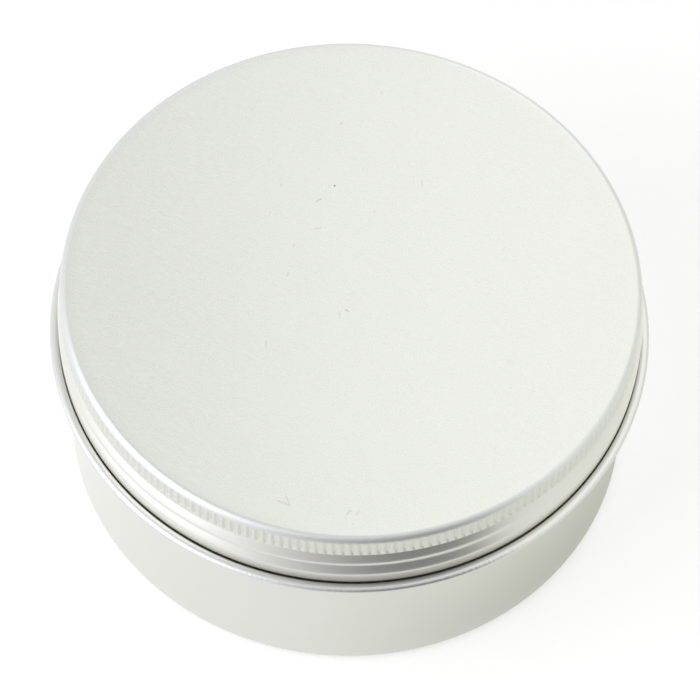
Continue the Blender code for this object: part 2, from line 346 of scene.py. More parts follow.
def tinted(tree, first, second, value):
    """A mix of two colours, at a value from 0 to 1."""
    first, second = (c if isinstance(c, bpy.types.NodeSocket) else (*c, 1) for c in (first, second))
    inputs = {0: value, 6: first, 7: second}
    return add_node(tree, "ShaderNodeMix", inputs, data_type="RGBA", clamp_factor=True).outputs[2]


def new_group(name, inputs, output):
    """An empty group with named inputs (kind, value) and one output; returns it and its input sockets."""
    group = bpy.data.node_groups.new(name, "ShaderNodeTree")
    for label, (kind, value) in inputs.items():
        socket = group.interface.new_socket(label, in_out="INPUT", socket_type="NodeSocket" + kind)
        if value is not None:
            socket.default_value = value
    group.interface.new_socket(output, in_out="OUTPUT", socket_type="NodeSocketFloat")
    return group, group.nodes.new("NodeGroupInput").outputs


def put_out(group, value):
    """Links a value to the group's output."""
    group.links.new(value, group.nodes.new("NodeGroupOutput").inputs[0])


def use(tree, group, **inputs):
    """Places a node group in a tree and returns its output. Underscores in names stand for spaces."""
    node = tree.nodes.new("ShaderNodeGroup")
    node.node_tree = group
    for label, value in inputs.items():
        socket = node.inputs[label.replace("_", " ").capitalize()]
        if isinstance(value, bpy.types.NodeSocket):
            tree.links.new(value, socket)
        else:
            socket.default_value = value
    return node.outputs[0]


# %% [markdown]
# ### Grain
#
# Grain is noise that is stretched in one direction. Straight grain turns the point and then divides it by the
# lines' width and length. Grain that runs outwards is noise on the direction from the axis, which is the same
# along each radius, plus a slow change outwards. Matt grain is plain noise.

# %% Node groups for grain
straight_grain, given = new_group("straight_grain", {
    "Vector": ("Vector", None), "Angle": ("Float", 0.0), "Line width": ("Float", 0.15 * MM),
    "Line length": ("Float", 10 * MM)}, "Value")
rotation = {"Vector": given["Vector"], "Angle": given["Angle"]}
turned = add_node(straight_grain, "ShaderNodeVectorRotate", rotation, rotation_type="Z_AXIS").outputs[0]
along = maths(straight_grain, "DIVIDE", 1.0, given["Line length"])
across = maths(straight_grain, "DIVIDE", 1.0, given["Line width"])
squeeze = from_parts(straight_grain, X=along, Y=across, Z=along)
stretched = vector_maths(straight_grain, "MULTIPLY", turned, squeeze)
put_out(straight_grain, noise(straight_grain, stretched, scale=1.0, detail=3.0))

outward_grain, given = new_group("outward_grain", {
    "Vector": ("Vector", None), "Lines": ("Float", 120.0), "Line length": ("Float", 1 * MM)}, "Value")
flat = flattened(outward_grain, given["Vector"])
spread = scaled(outward_grain, vector_maths(outward_grain, "NORMALIZE", flat), given["Lines"])
reach = vector_maths(outward_grain, "LENGTH", flat, result=1)
step = from_parts(outward_grain, Z=maths(outward_grain, "DIVIDE", reach, given["Line length"]))
put_out(outward_grain, noise(outward_grain, vector_maths(outward_grain, "ADD", spread, step), scale=1.0))

matt_grain, given = new_group("matt_grain", {
    "Vector": ("Vector", None), "Grain size": ("Float", 0.3 * MM)}, "Value")
grains = maths(matt_grain, "DIVIDE", 1.0, given["Grain size"])
put_out(matt_grain, noise(matt_grain, given["Vector"], scale=grains, detail=3.0))
print("kinds of grain:", straight_grain.name, outward_grain.name, matt_grain.name)

# %% [markdown]
# ### Specks and hairs
#
# Specks are the middles of a few cells of a Voronoi pattern, chosen by each cell's random colour. A hair is a
# thin line between two points: the nearest point of the line is found by projection, and the mask falls from
# 1 on the line to 0 at the hair's width. A little noise bends it.

# %% Node groups for specks and hairs
HAIR_WAVES = 600.0
HAIR_WANDER = 0.4 * MM

specks, given = new_group("specks", {
    "Vector": ("Vector", None), "Spacing": ("Float", 3 * MM), "Size": ("Float", 0.12 * MM),
    "Share": ("Float", 0.3)}, "Mask")
cells = add_node(specks, "ShaderNodeTexVoronoi",
                 {"Vector": given["Vector"], "Scale": maths(specks, "DIVIDE", 1.0, given["Spacing"])})
reach = maths(specks, "DIVIDE", given["Size"], given["Spacing"])
near = maths(specks, "SUBTRACT", 1.0, maths(specks, "DIVIDE", cells.outputs["Distance"], reach), clamp=True)
lot = add_node(specks, "ShaderNodeSeparateColor", {"Color": cells.outputs["Color"]}).outputs[0]
picked = maths(specks, "LESS_THAN", lot, given["Share"])
put_out(specks, maths(specks, "MULTIPLY", maths(specks, "POWER", near, 0.5), picked))

hair, given = new_group("hair", {
    "Vector": ("Vector", None), "Start": ("Vector", (0, 0, 0)), "End": ("Vector", (0, 0, 0)),
    "Width": ("Float", 0.1 * MM)}, "Mask")
flat = flattened(hair, given["Vector"])
waves = add_node(hair, "ShaderNodeTexNoise", {"Vector": flat, "Scale": HAIR_WAVES, "Detail": 1.0})
wander = vector_maths(hair, "SUBTRACT", waves.outputs["Color"], (0.5, 0.5, 0.5))
wander = flattened(hair, scaled(hair, wander, HAIR_WANDER))
place = vector_maths(hair, "ADD", flat, wander)
run = vector_maths(hair, "SUBTRACT", given["End"], given["Start"])
arm = vector_maths(hair, "SUBTRACT", place, given["Start"])
share = maths(hair, "DIVIDE", vector_maths(hair, "DOT_PRODUCT", arm, run, result=1),
              vector_maths(hair, "DOT_PRODUCT", run, run, result=1), clamp=True)
distance = vector_maths(hair, "DISTANCE", arm, scaled(hair, run, share), result=1)
put_out(hair, maths(hair, "SUBTRACT", 1.0, maths(hair, "DIVIDE", distance, given["Width"]), clamp=True))
print("node groups:", sorted(group.name for group in bpy.data.node_groups))

# %% [markdown]
# ## The camera
#
# The tin is seen from almost 60 degrees above the table with a long lens. Place, turn and lens were fitted to
# the ellipses that the top, the rim and the foot make in the picture. The camera comes before the dust,
# because its rays say where on the lid a point of the picture lies.

# %% Camera
CAMERA_ELEVATION, CAMERA_ROLL = math.radians(59.79), math.radians(-2.585)
CAMERA_DISTANCE = 0.7052
AIM_SIDEWAYS, AIM_UP = 0.000191, 0.009455
LENS_TO_SENSOR = 6.8558
back = Vector((0, -math.cos(CAMERA_ELEVATION), math.sin(CAMERA_ELEVATION)))
up = Vector((0, math.sin(CAMERA_ELEVATION), math.cos(CAMERA_ELEVATION)))
side = Vector((1, 0, 0))
right = math.cos(CAMERA_ROLL) * side - math.sin(CAMERA_ROLL) * up
above = math.sin(CAMERA_ROLL) * side + math.cos(CAMERA_ROLL) * up
eye = back * CAMERA_DISTANCE + side * AIM_SIDEWAYS + up * AIM_UP
camera_data = bpy.data.cameras.new("camera")
camera_data.lens = LENS_TO_SENSOR * camera_data.sensor_width
camera = bpy.data.objects.new("camera", camera_data)
camera.matrix_world = Matrix.Translation(eye) @ Matrix((right, above, back)).transposed().to_4x4()
bpy.context.scene.collection.objects.link(camera)
bpy.context.scene.camera = camera
bpy.context.scene.view_settings.view_transform = "Standard"
print("lens:", round(camera_data.lens, 1), "mm")

# %% [markdown]
# ## Dust on the lid
#
# Hairs and grains of dust lie on the flat top. Each is a short line between two points of the picture, read
# off it in pixels, with a width in millimetres and a strength. The camera's ray through such a point
# meets the flat top where the mark lies. The darkest of the marks counts at any point. Dust could be tiny
# pieces of its own, but a mask in the material can't float above the sheet.

# %% Node group for the dust
PICTURE_SIDE = 700
DUST_PIXELS = [
    ((334.7, 186.3), (335.3, 186.3), 0.18, 0.85),
    ((329.6, 185.5), (329.8, 185.5), 0.13, 0.15),
    ((316.3, 201.3), (321.0, 198.7), 0.11, 0.4),
    ((314.5, 229.0), (320.5, 228.0), 0.12, 0.2),
    ((281.0, 186.2), (282.3, 184.8), 0.14, 0.2),
    ((293.6, 245.0), (293.8, 245.0), 0.15, 0.22),
    ((286.5, 276.0), (288.6, 273.2), 0.12, 0.18),
    ((266.0, 348.0), (266.2, 341.5), 0.12, 0.15),
    ((421.5, 180.0), (422.2, 187.0), 0.12, 0.12),
    ((374.2, 211.5), (374.4, 211.5), 0.13, 0.3),
    ((363.0, 169.3), (363.0, 169.8), 0.13, 0.15),
    ((341.2, 123.5), (341.4, 123.5), 0.15, 0.3),
    ((382.2, 92.8), (382.4, 92.8), 0.14, 0.22),
    ((344.8, 309.8), (348.8, 311.5), 0.11, 0.32),
    ((339.5, 311.2), (339.5, 318.3), 0.12, 0.12),
    ((278.3, 500.7), (289.7, 505.5), 0.15, 0.15),
    ((285.5, 496.7), (289.7, 505.5), 0.15, 0.12),
    ((351.0, 510.0), (347.2, 514.3), 0.15, 0.18),
    ((360.0, 510.2), (356.3, 514.7), 0.15, 0.1),
    ((353.4, 523.5), (353.6, 523.5), 0.15, 0.13),
    ((508.8, 362.0), (511.6, 362.0), 0.7, 0.03),
]


def on_flat_top(pixel):
    """Where the ray through a pixel meets the flat top: eye + t * direction, with t so that z = LID_TOP."""
    x, y = ((np.array(pixel) - PICTURE_SIDE / 2) / (LENS_TO_SENSOR * PICTURE_SIDE)).tolist()
    direction = right * x - above * y - back
    mark = eye + direction * ((LID_TOP - eye.z) / direction.z)
    return mark.x, mark.y, 0


dust, given = new_group("dust", {"Vector": ("Vector", None)}, "Mask")
darkest = 0.0
for start, end, width, strength in DUST_PIXELS:
    ends = {"start": on_flat_top(start), "end": on_flat_top(end)}
    mask = use(dust, hair, vector=given["Vector"], width=width * MM, **ends)
    darkest = maths(dust, "MAXIMUM", darkest, maths(dust, "MULTIPLY", mask, strength))
put_out(dust, darkest)
print("hairs and grains of dust:", len(DUST_PIXELS))

# %% [markdown]
# ## Bare metal
#
# Lid and body are drawn from the same kind of sheet, so their materials share a start and a finish. Both are
# fully metallic. The colour lies between a darker and a lighter aluminium, picked by the grain, a few dark
# specks and soft clouds. The grain also makes the gloss a little uneven and feeds the bump.

# %% Shared parts of the two metals
DARK_METAL, LIGHT_METAL = (0.735, 0.742, 0.706), (0.775, 0.782, 0.744)
# The colour of painted shade where lid and body meet: darker and yellower than the metal.
GAP_SHADE_METAL = (0.71, 0.705, 0.64)
MATT_SIZE = 0.2 * MM
SPECK_SIZE = 0.12 * MM
SPECK_DEPTH = 1.5


def aluminium(name):
    """A bare metal material; returns it, its tree, its shader and the Object coordinates."""
    material = bpy.data.materials.new(name)
    material.use_nodes = True
    tree = material.node_tree
    shader = tree.nodes["Principled BSDF"]
    shader.inputs["Metallic"].default_value = 1.0
    return material, tree, shader, tree.nodes.new("ShaderNodeTexCoord").outputs["Object"]


def metal_colour(tree, point, surface, speck_spacing, speck_share, cloud_size, cloud_share):
    """Dark to light metal, at (surface - depth * specks) mixed with clouds by their share."""
    dots = use(tree, specks, vector=point, spacing=speck_spacing, size=SPECK_SIZE, share=speck_share)
    specked = maths(tree, "SUBTRACT", surface, maths(tree, "MULTIPLY", dots, SPECK_DEPTH))
    cloud = use(tree, matt_grain, vector=point, grain_size=cloud_size)
    return tinted(tree, DARK_METAL, LIGHT_METAL, blended(tree, specked, cloud, cloud_share))


def gloss_and_bump(tree, shader, surface, roughness, unevenness, strength, depth):
    """Roughness + unevenness * (surface - 0.5), and a bump of the surface with this strength and depth."""
    uneven = maths(tree, "MULTIPLY", maths(tree, "SUBTRACT", surface, 0.5), unevenness)
    tree.links.new(maths(tree, "ADD", roughness, uneven), shader.inputs["Roughness"])
    bump = add_node(tree, "ShaderNodeBump", {"Strength": strength, "Distance": depth, "Height": surface})
    tree.links.new(bump.outputs[0], shader.inputs["Normal"])


print("aluminium, dark to light:", DARK_METAL, LIGHT_METAL)


# %% [markdown]
# ## The lid's aluminium
#
# Masks on height tell the flat top, the edge with its knurl, and the skirt apart. The flat top is the
# smoothest, and its straight grain is too fine to stand out, so it shows in colour and gloss but not in the
# bump. The edge is matt and its rounding a little bluer. Towards its foot, next to the gap above the rim, the
# skirt is tinted darker and yellower, which is painted shade. Dust is a dark brown that isn't metal.

# %% Material of the lid
COOL_METAL = (0.72, 0.735, 0.745)
COOL_SHARE = 0.8
BROWN_DUST = (0.05, 0.03, 0.025)
BAND_FOOT = LID_TOP - 3.9 * MM
TOP_MASK = (LID_TOP - 0.15 * MM, LID_TOP - 0.02 * MM)
ROUNDING_MASK = (LID_TOP - 1.0 * MM, LID_TOP - 0.6 * MM)
EDGE_MASK = (BAND_FOOT - 0.3 * MM, BAND_FOOT)
FOOT_SHADE_MASK = (SKIRT_FOOT + 0.8 * MM, SKIRT_FOOT + 2.6 * MM)
GRAIN_ANGLE = math.radians(22)
FINE_GRAIN = {"line_width": 0.25 * MM, "line_length": 1.5 * MM}
BROAD_GRAIN = {"line_width": 0.8 * MM, "line_length": 30 * MM}
BROAD_SHARE = 0.25
GRAIN_RANGE = (0.25, 0.75)
LID_MARKS = {"speck_spacing": 7 * MM, "speck_share": 0.25, "cloud_size": 9 * MM, "cloud_share": 0.3}
TOP_ROUGHNESS, EDGE_ROUGHNESS, SKIRT_ROUGHNESS = 0.28, 0.48, 0.35
LID_UNEVENNESS = 0.05
LID_BUMP_DEPTH = 0.02 * MM

lid_metal, tree, shader, point = aluminium("lid_aluminium")
height = parts_of(tree, point)["Z"]
on_top = ramp(tree, height, *TOP_MASK)
off_top = maths(tree, "SUBTRACT", 1.0, on_top)
on_edge = ramp(tree, height, *EDGE_MASK)
fine = use(tree, straight_grain, vector=point, angle=GRAIN_ANGLE, **FINE_GRAIN)
broad = use(tree, straight_grain, vector=point, angle=GRAIN_ANGLE, **BROAD_GRAIN)
grain = ramp(tree, blended(tree, fine, broad, BROAD_SHARE), *GRAIN_RANGE)
matt = use(tree, matt_grain, vector=point, grain_size=MATT_SIZE)
surface = blended(tree, matt, grain, on_top)
metal = metal_colour(tree, point, surface, **LID_MARKS)
cool = maths(tree, "MULTIPLY", ramp(tree, height, *ROUNDING_MASK), off_top)
metal = tinted(tree, metal, COOL_METAL, maths(tree, "MULTIPLY", cool, COOL_SHARE))
# Painted shade: the skirt is tinted darker and yellower towards its foot, next to the gap.
metal = tinted(tree, metal, GAP_SHADE_METAL, ramp(tree, height, *FOOT_SHADE_MASK, to_low=1.0, to_high=0.0))
dusty = maths(tree, "MULTIPLY", use(tree, dust, vector=point), on_top)
tree.links.new(tinted(tree, metal, BROWN_DUST, dusty), shader.inputs["Base Color"])
tree.links.new(maths(tree, "SUBTRACT", 1.0, dusty), shader.inputs["Metallic"])
sides = blended(tree, SKIRT_ROUGHNESS, EDGE_ROUGHNESS, on_edge)
roughness = blended(tree, sides, TOP_ROUGHNESS, on_top)
gloss_and_bump(tree, shader, surface, roughness, LID_UNEVENNESS, strength=off_top, depth=LID_BUMP_DEPTH)
print("lid material:", len(tree.nodes), "nodes")

# %% [markdown]
# ## The body's aluminium
#
# The wall was drawn upwards through a ring, which leaves it smooth and faintly cloudy. The rim was rolled
# over, its tint is a little bluer, and its outer half is coarse, with grain that runs outwards. The neck and
# the groove that the skirt stands in are tinted darker and yellower: painted shade under the lid's skirt.

# %% Material of the body
COOL_RIM = (0.73, 0.735, 0.77)
COOL_RIM_SHARE = 0.45
RIM_MASK = (WALL_RADIUS + 0.9 * MM, WALL_RADIUS + 1.3 * MM)
OUTER_RIM_MASK = (WALL_RADIUS + 1.8 * MM, WALL_RADIUS + 2.3 * MM)
GROOVE_SHADE_MASK = (WALL_RADIUS + 0.3 * MM, WALL_RADIUS + 0.9 * MM)
ABOVE_WALL_MASK = (GROOVE_Z - 0.4 * MM, GROOVE_Z - 0.1 * MM)
RIM_RAYS = {"lines": 110.0, "line_length": 0.8 * MM}
BASE_MARKS = {"speck_spacing": 8 * MM, "speck_share": 0.2, "cloud_size": 5 * MM, "cloud_share": 0.5}
WALL_ROUGHNESS, RIM_ROUGHNESS = 0.3, 0.36
BASE_UNEVENNESS = 0.08
WALL_BUMP, RIM_BUMP = 0.02, 1.0
BASE_BUMP_DEPTH = 0.055 * MM

base_metal, tree, shader, point = aluminium("base_aluminium")
radius = vector_maths(tree, "LENGTH", flattened(tree, point), result=1)
on_rim = ramp(tree, radius, *RIM_MASK)
outer_rim = ramp(tree, radius, *OUTER_RIM_MASK)
groove_shade = ramp(tree, radius, *GROOVE_SHADE_MASK, to_low=1.0, to_high=0.0)
above_wall = ramp(tree, parts_of(tree, point)["Z"], *ABOVE_WALL_MASK)
matt = use(tree, matt_grain, vector=point, grain_size=MATT_SIZE)
rays = use(tree, outward_grain, vector=point, **RIM_RAYS)
surface = blended(tree, matt, rays, outer_rim)
metal = metal_colour(tree, point, surface, **BASE_MARKS)
# Painted shade: the neck and the groove under the lid's skirt are tinted darker and yellower.
metal = tinted(tree, metal, GAP_SHADE_METAL, maths(tree, "MULTIPLY", groove_shade, above_wall))
metal = tinted(tree, metal, COOL_RIM, maths(tree, "MULTIPLY", on_rim, COOL_RIM_SHARE))
tree.links.new(metal, shader.inputs["Base Color"])
roughness = blended(tree, WALL_ROUGHNESS, RIM_ROUGHNESS, outer_rim)
strength = blended(tree, WALL_BUMP, RIM_BUMP, outer_rim)
gloss_and_bump(tree, shader, surface, roughness, BASE_UNEVENNESS, strength, depth=BASE_BUMP_DEPTH)
print("body material:", len(tree.nodes), "nodes")

# %% [markdown]
# ## The liner's foam
#
# The liner is a disc punched from white closed-cell foam. Its skin is matt, with pores a few tenths of a
# millimetre wide. Noise alone would look like stone, so a Voronoi pattern gives both their dents and the
# painted shade in them, which makes the pores darker than the skin.

# %% Material of the liner
PORE_SIZE = 0.45 * MM
PORE_RANGE = (0.1, 0.6)
PORE_BUMP = {"Strength": 0.4, "Distance": 0.05 * MM}
FOAM_PORE_SHADE, FOAM_SKIN = (0.78, 0.78, 0.77), (0.9, 0.9, 0.89)
FOAM_CLOUD_SIZE, FOAM_CLOUD_SHARE = 2 * MM, 0.3
FOAM_ROUGHNESS = 0.75

liner_foam = bpy.data.materials.new("liner_foam")
liner_foam.use_nodes = True
tree = liner_foam.node_tree
shader = tree.nodes["Principled BSDF"]
shader.inputs["Roughness"].default_value = FOAM_ROUGHNESS
point = tree.nodes.new("ShaderNodeTexCoord").outputs["Object"]
pores = add_node(tree, "ShaderNodeTexVoronoi", {"Vector": point, "Scale": 1 / PORE_SIZE}).outputs["Distance"]
cloud = use(tree, matt_grain, vector=point, grain_size=FOAM_CLOUD_SIZE)
shade = blended(tree, ramp(tree, pores, *PORE_RANGE), cloud, FOAM_CLOUD_SHARE)
# Painted shade: the pores' dents are darker than the skin.
tree.links.new(tinted(tree, FOAM_PORE_SHADE, FOAM_SKIN, shade), shader.inputs["Base Color"])
bump = add_node(tree, "ShaderNodeBump", {"Height": pores, **PORE_BUMP})
tree.links.new(bump.outputs[0], shader.inputs["Normal"])
print("liner material:", len(tree.nodes), "nodes")

# %% [markdown]
# ## The lid
#
# Outside, the lid goes from its flat top over a rounded edge to the knurled band, steps in to the skirt, and
# ends in a rolled bead whose raw edge is hemmed inwards. Inside, the same sheet is followed back up. The
# thread is pressed out of the skirt on both sides of the sheet, so both outlines get the same rise. A Screw
# modifier could turn the outline, but thread and knurl would then have to be cut in. Here each row's radius
# is changed as it is turned.

# %% Outline and surface of the lid
TOP_ROUNDING = 1.22 * MM
STEP_FOOT = BAND_FOOT - 0.35 * MM
CREST_START = SKIRT_FOOT + 2.25 * MM + PITCH / 4
LID_TURNS, LID_FADES = (-90, 400), (90, 50)
BEAD_CREST = SKIRT_FOOT + 2.3 * MM
BEAD_FLANK = 1.1 * MM
BEAD_TIP = 0.3
HEM_Z = SKIRT_FOOT + 0.45 * MM
HEM_TOP = SKIRT_FOOT + 1.75 * MM
HEM_FLARE = 0.15 * MM
FOOT_LEAN = 0.1 * MM
LID_THREAD_HALF = 1.15 * MM
SKIRT_BLEND = 0.06 * MM
STEP_REACH = KNURL_RADIUS - 0.15 * MM
BAND_MASK = (KNURL_RADIUS - 0.5 * MM, KNURL_RADIUS - 0.05 * MM)
FLAT_RADIUS, UNDERSIDE_RADIUS = 38.5 * MM, 20 * MM
BAND_STEP = 0.25 * MM


def bead_radius(z):
    """Radius of the bead without the thread: a slope up to its crest, and below it a lean inwards.

    The lean is FOOT_LEAN * s^2, where s grows from 0 at the crest to 1 at the hem.
    """
    out = np.minimum(1, slope_down(np.maximum(0, z - BEAD_CREST) / BEAD_FLANK, BEAD_TIP))
    s = np.clip((BEAD_CREST - z) / (BEAD_CREST - HEM_Z), 0, 1)
    return SKIRT_RADIUS + (BEAD_RADIUS - SKIRT_RADIUS) * out - FOOT_LEAN * s ** 2


def skirt_radius(r, z, angle):
    """Radius of the skirt's outside: the bead or the thread, whichever stands out further."""
    rise = thread_rise(z, angle, CREST_START, LID_THREAD_HALF, LID_TURNS, LID_FADES)
    ridge = SKIRT_RADIUS + (BEAD_RADIUS - SKIRT_RADIUS) * rise
    return np.minimum(soft_max(bead_radius(z), ridge, SKIRT_BLEND), BEAD_RADIUS)


def step_radius(r, z, angle):
    """The step under the knurled band, pushed out where the thread runs into it."""
    return np.maximum(r, np.minimum(skirt_radius(r, z, angle), STEP_REACH))


def skirt_inside(r, z, angle):
    """Radius of the skirt's inside: a sheet's thickness less."""
    return skirt_radius(r, z, angle) - SHEET


def knurled(r, z, angle):
    """The band's radius less the slots' depth, which only bites on the band itself."""
    return r - slot_depth(z, angle) * smooth_step(*BAND_MASK, r)


corner = (KNURL_RADIUS - TOP_ROUNDING, LID_TOP - TOP_ROUNDING)
flat_top = np.column_stack([np.linspace(0, FLAT_RADIUS, 6), np.full(6, LID_TOP)])
band = refined(np.vstack([
    arc(corner, TOP_ROUNDING, 90, 0, 10),
    (KNURL_RADIUS, BAND_FOOT + 0.05 * MM), (KNURL_RADIUS - 0.01 * MM, BAND_FOOT)]), BAND_STEP)
step_rows = np.array([(KNURL_RADIUS - 0.35 * MM, BAND_FOOT - 0.05 * MM), (SKIRT_RADIUS, STEP_FOOT)])
skirt_rows = upright(SKIRT_RADIUS, np.linspace(STEP_FOOT - 0.06 * MM, HEM_Z, 114))
foot_radius = BEAD_RADIUS - FOOT_LEAN
fold = ((foot_radius + HEM_RADIUS) / 2, HEM_Z)
fold_rows = arc(fold, ((foot_radius - HEM_RADIUS) / 2, HEM_Z - SKIRT_FOOT), 0, -180, 12)[1:]
hem_rows = np.array([(HEM_RADIUS, HEM_TOP), (HEM_RADIUS + HEM_FLARE, HEM_TOP + HEM_FLARE)])
inner_rows = upright(SKIRT_RADIUS, np.linspace(HEM_TOP + 0.25 * MM, STEP_FOOT - 0.1 * MM, 34))
closing_rows = np.vstack([
    (KNURL_RADIUS - SLOT_DEPTH - SHEET, BAND_FOOT),
    arc((corner[0] - SLOT_DEPTH, corner[1]), TOP_ROUNDING - SHEET, 0, 90, 5),
    (UNDERSIDE_RADIUS, LID_TOP - SHEET), (0, LID_TOP - SHEET)])

COLUMNS_TO_A_TOOTH = 8
COARSE, FINE = KNURL_TEETH, COLUMNS_TO_A_TOOTH * KNURL_TEETH
coarse_grid = np.vstack([
    ring_grid(step_rows, COARSE, step_radius),
    ring_grid(skirt_rows, COARSE, skirt_radius),
    ring_grid(fold_rows, COARSE),
    ring_grid(hem_rows, COARSE),
    ring_grid(inner_rows, COARSE, skirt_inside),
    ring_grid(closing_rows, COARSE)])
fine_grid = ring_grid(np.vstack([flat_top, band]), FINE, knurled)
lid = closed_surface("lid_shell_finished", [fine_grid, coarse_grid], lid_metal)

# %% [markdown]
# ## The body
#
# The body is followed the other way round: from the middle of its floor up the inside, over the curled lip,
# down the outside of the neck, through the groove that the skirt stands in, round the rolled rim, and down
# the wall to the foot. A Solidify modifier could add one side of the sheet to the other. With both in the
# outline, the bends keep their own radii on either side.

# %% Outline and surface of the body
LIP_RADIUS = 0.65 * MM
RIM_LOW = GROOVE_Z - 0.8 * MM
ROLL = np.array([0.8, 0.6]) * MM
ROLL_START = 150
BEND = 0.4 * MM
FOOT_ROUNDING = 1.4 * MM
FOOT_RING, PANEL_SLOPE = 2.8 * MM, 0.8 * MM
FLOOR_Z, PANEL_Z = 0.9 * MM, 0.6 * MM
GROOVE_WIDTH = 0.75 * MM
NECK_LOW, NECK_STEP = GROOVE_Z + 0.6 * MM, 0.2 * MM
BASE_STEP, BASE_COLUMNS = 2.5 * MM, 360
lip = (NECK_RADIUS - LIP_RADIUS, LIP_TOP - LIP_RADIUS)
neck_bend = (NECK_RADIUS + BEND, GROOVE_Z + BEND)
wall_bend = (WALL_RADIUS + BEND, RIM_LOW - BEND)
roll = (RIM_RADIUS - ROLL[0], RIM_LOW + ROLL[1])
groove = roll[0] - GROOVE_WIDTH
foot = (WALL_RADIUS - FOOT_ROUNDING, FOOT_ROUNDING)
foot_inside = foot[0] - FOOT_RING
panel = foot_inside - PANEL_SLOPE
neck_heights = np.arange(NECK_LOW, lip[1] - NECK_STEP / 2, NECK_STEP)
base_outline = refined(np.vstack([
    (0, FLOOR_Z), (panel + SHEET / 2, FLOOR_Z), (foot_inside + SHEET / 2, SHEET),
    arc(foot, FOOT_ROUNDING - SHEET, -90, 0, 8),
    arc(wall_bend, BEND + SHEET, 180, 90, 5),
    arc(roll, ROLL - SHEET, -90, ROLL_START, 10),
    (groove + SHEET, GROOVE_Z - SHEET),
    arc(neck_bend, BEND + SHEET, 270, 180, 5),
    upright(NECK_RADIUS - SHEET, neck_heights),
    arc(lip, LIP_RADIUS - SHEET, 0, 270, 14),
    arc(lip, LIP_RADIUS, 270, 0, 18),
    upright(NECK_RADIUS, neck_heights[::-1]),
    arc(neck_bend, BEND, 180, 270, 5),
    (groove, GROOVE_Z),
    arc(roll, ROLL, ROLL_START, -90, 24),
    arc(wall_bend, BEND, 90, 180, 6),
    arc(foot, FOOT_ROUNDING, 0, -90, 12),
    (foot_inside, 0), (panel, PANEL_Z), (0, PANEL_Z)]), BASE_STEP)
NECK_TURNS, NECK_FADES = (0, 340), (40, 40)
NECK_CREST_START = CREST_START - 0.15 * MM
NECK_THREAD_HALF, NECK_THREAD_RISE = 0.85 * MM, 0.65 * MM
NECK_MASK = (NECK_RADIUS - SHEET - 0.2 * MM, NECK_RADIUS - SHEET - 0.1 * MM)


def threaded_neck(r, z, angle):
    """The neck's radius plus its thread: the rise holds on the neck alone, outside and inside."""
    on_neck = smooth_step(*NECK_MASK, r)
    on_neck = on_neck * (r < NECK_RADIUS + 0.05 * MM) * (z > GROOVE_Z + BEND) * (z < lip[1])
    rise = thread_rise(z, angle, NECK_CREST_START, NECK_THREAD_HALF, NECK_TURNS, NECK_FADES)
    return r + NECK_THREAD_RISE * rise * on_neck


base = closed_surface("tin_base_finished", [ring_grid(base_outline, BASE_COLUMNS, threaded_neck)], base_metal)

# %% [markdown]
# ## The liner
#
# The foam disc is punched with a steel rule, which leaves its edge slightly rounded. Where it has sealed on
# the curled lip, the lip has pressed a shallow ring into it. A cylinder with a Bevel modifier would do for
# the disc but not for the ring, so the liner is turned from an outline too.

# %% Outline and surface of the liner
LINER_RADIUS, SOFT_EDGE = LINER_HIGH[0], 0.3 * MM
PRESSED_RING = (0.9 * MM, 0.11 * MM)
LINER_STEP, LINER_COLUMNS = 4 * MM, 256
low, high = LINER_LOW[2], LINER_HIGH[2]
inner_edge = LINER_RADIUS - SOFT_EDGE
press = arc((lip[0], low), PRESSED_RING, 0, 180, 10)
liner_outline = refined(np.vstack([
    (0, high), arc((inner_edge, high - SOFT_EDGE), SOFT_EDGE, 90, 0, 5),
    arc((inner_edge, low + SOFT_EDGE), SOFT_EDGE, 0, -90, 5)[:-1],
    press, (0, low)]), LINER_STEP)
liner = closed_surface("lid_liner_finished", [ring_grid(liner_outline, LINER_COLUMNS)], liner_foam)

# %% [markdown]
# ## Which piece moves with which body
#
# Each finished piece stands for the solid of the same name and rides on its body: the lid turns, the liner
# rises with it, and the body of the tin stays where it is.

# %% Ride and replace
for piece, body, node, slot in (
        (base, "base", "tin_base", "base_aluminium"),
        (lid, "lid", "lid_shell", "lid_aluminium"),
        (liner, "liner", "lid_liner", "liner_foam")):
    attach(piece, body)
    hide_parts(node)
    print(piece.name, "rides on", body)

# %% [markdown]
# ## The studio
#
# Satin metal shows its surroundings more than itself, so the studio matters as much as the tin. The tin
# stands on a white table in a white room. A large soft light hangs behind it, which the flat top mirrors,
# with a small one below that. Another large one on the left whitens every rounded edge on that side. Where
# the camera or a mirror sees the room it is pure white, and it lights matt surfaces with less than half of
# that, so that shadows stay.

# %% Table and background
AMBIENT = 0.45
GLOW = 0.5
TABLE_WHITE = (0.86, 0.86, 0.86)
TABLE_RADIUS = 0.6
CIRCLE_POINTS = 96
STAGE_ROUGHNESS = 0.9


def seen(tree):
    """1 where the camera looks, straight or by way of mirrors, and 0 where a matt surface gathers light."""
    path = tree.nodes.new("ShaderNodeLightPath").outputs
    mirrored = maths(tree, "MAXIMUM", path["Is Glossy Ray"], path["Is Transmission Ray"])
    straight = maths(tree, "LESS_THAN", path["Diffuse Depth"], 0.5)
    return maths(tree, "MAXIMUM", path["Is Camera Ray"], maths(tree, "MULTIPLY", mirrored, straight))


def stage_material(name, colour):
    """A matt material for the stage; returns it, its tree and its shader."""
    material = bpy.data.materials.new(name)
    material.use_nodes = True
    shader = material.node_tree.nodes["Principled BSDF"]
    shader.inputs["Base Color"].default_value = (*colour, 1)
    shader.inputs["Roughness"].default_value = STAGE_ROUGHNESS
    return material, material.node_tree, shader


def staged(name, points, faces, material):
    """A plain mesh object that belongs to the stage."""
    mesh = bpy.data.meshes.new(name)
    mesh.from_pydata(points, [], faces)
    mesh.materials.append(material)
    item = bpy.data.objects.new(name, mesh)
    bpy.context.scene.collection.objects.link(item)
    return item


